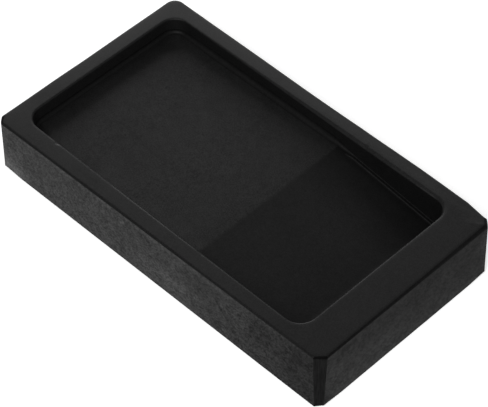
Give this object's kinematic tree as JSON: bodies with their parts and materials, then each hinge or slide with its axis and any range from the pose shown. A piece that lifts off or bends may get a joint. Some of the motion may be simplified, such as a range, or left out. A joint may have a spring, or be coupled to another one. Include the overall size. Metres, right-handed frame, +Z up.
{
  "type": "ink stone",
  "caption": "Rectangular block of dark slate with a carved basin: a level field to grind ink on, a ramp down to an ink well, and a flat rim.",
  "frame": {"origin": "centre of the underside", "axes": "+X along the block to the ink well's end, +Y across the block, +Z up out of the basin"},
  "size_m": [0.136, 0.075, 0.021],
  "materials": {
    "slate": "satin, sawn matt on the sides"
  },
  "bodies": {
    "root": {"ink_stone": "slate"}
  },
  "joints": []
}
